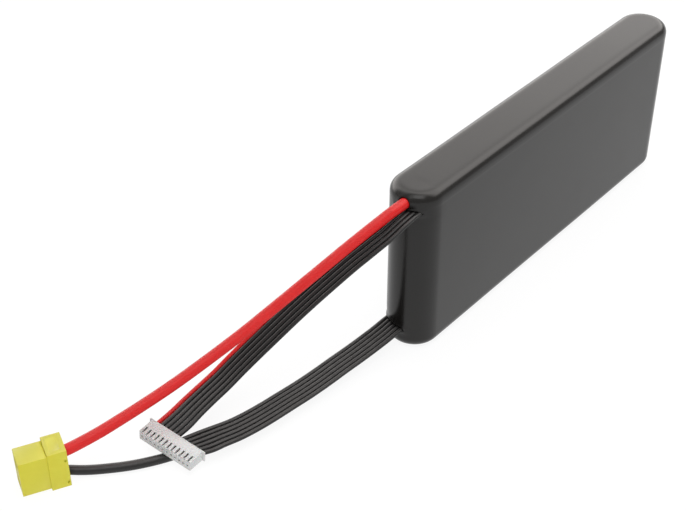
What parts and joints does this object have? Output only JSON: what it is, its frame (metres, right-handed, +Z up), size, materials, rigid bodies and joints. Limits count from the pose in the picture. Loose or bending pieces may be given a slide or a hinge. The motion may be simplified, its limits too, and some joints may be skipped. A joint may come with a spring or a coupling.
{
  "type": "lipo battery pack",
  "caption": "Tall slim rechargeable pack in a dark shrink sleeve with rounded ends, red and black main leads to a yellow power plug, and balance wires to a white plug.",
  "frame": {"origin": "middle of the narrow bottom face that the pack stands on, leads and plugs left out", "axes": "+Z up along the pack's height, X along its length with the cables leaving at -X, Y through its thickness"},
  "size_m": [0.4321, 0.0893, 0.094],
  "materials": {
    "sleeve_film": "satin heat-shrunk film, dark grey",
    "pouch_foil": "satin laminated foil",
    "board_laminate": "matt solder resist",
    "copper_strip": "bright rolled strip",
    "foam": "matt closed-cell foam",
    "sheet_plastic": "matt fibre sheet",
    "red_silicone": "satin silicone",
    "black_silicone": "satin silicone",
    "yellow_nylon": "satin moulded plastic",
    "white_nylon": "satin moulded plastic",
    "gold_plate": "bright plated",
    "tinned_contact": "bright tinned"
  },
  "bodies": {
    "root": {"outer_sleeve": "sleeve_film", "cell_lower_1": "pouch_foil", "cell_lower_2": "pouch_foil", "cell_lower_3": "pouch_foil", "cell_lower_4": "pouch_foil", "cell_lower_5": "pouch_foil", "cell_upper_1": "pouch_foil", "cell_upper_2": "pouch_foil", "cell_upper_3": "pouch_foil", "cell_upper_4": "pouch_foil", "cell_upper_5": "pouch_foil", "tab_board_lower": "board_laminate", "tab_board_upper": "board_laminate", "series_link": "copper_strip", "positive_terminal": "copper_strip", "negative_terminal": "copper_strip", "foam_pad_cable_end": "foam", "foam_pad_far_end": "foam", "stack_separator": "sheet_plastic", "side_plate_left": "sheet_plastic", "side_plate_right": "sheet_plastic", "edge_foam_bottom": "foam", "edge_foam_top": "foam", "main_plug_body": "yellow_nylon", "main_plug_cap": "yellow_nylon", "main_contact_positive": "gold_plate", "main_contact_negative": "gold_plate", "balance_plug_housing": "white_nylon", "balance_contact_01": "tinned_contact", "balance_contact_02": "tinned_contact", "balance_contact_03": "tinned_contact", "balance_contact_04": "tinned_contact", "balance_contact_05": "tinned_contact", "balance_contact_06": "tinned_contact", "balance_contact_07": "tinned_contact", "balance_contact_08": "tinned_contact", "balance_contact_09": "tinned_contact", "balance_contact_10": "tinned_contact", "balance_contact_11": "tinned_contact", "balance_contact_12": "tinned_contact", "positive_lead": "red_silicone", "negative_lead": "black_silicone", "balance_wire_01": "red_silicone", "balance_wire_02": "black_silicone", "balance_wire_03": "black_silicone", "balance_wire_04": "black_silicone", "balance_wire_05": "black_silicone", "balance_wire_06": "black_silicone", "balance_wire_07": "black_silicone", "balance_wire_08": "black_silicone", "balance_wire_09": "black_silicone", "balance_wire_10": "black_silicone", "balance_wire_11": "black_silicone", "balance_wire_12": "black_silicone"}
  },
  "joints": []
}
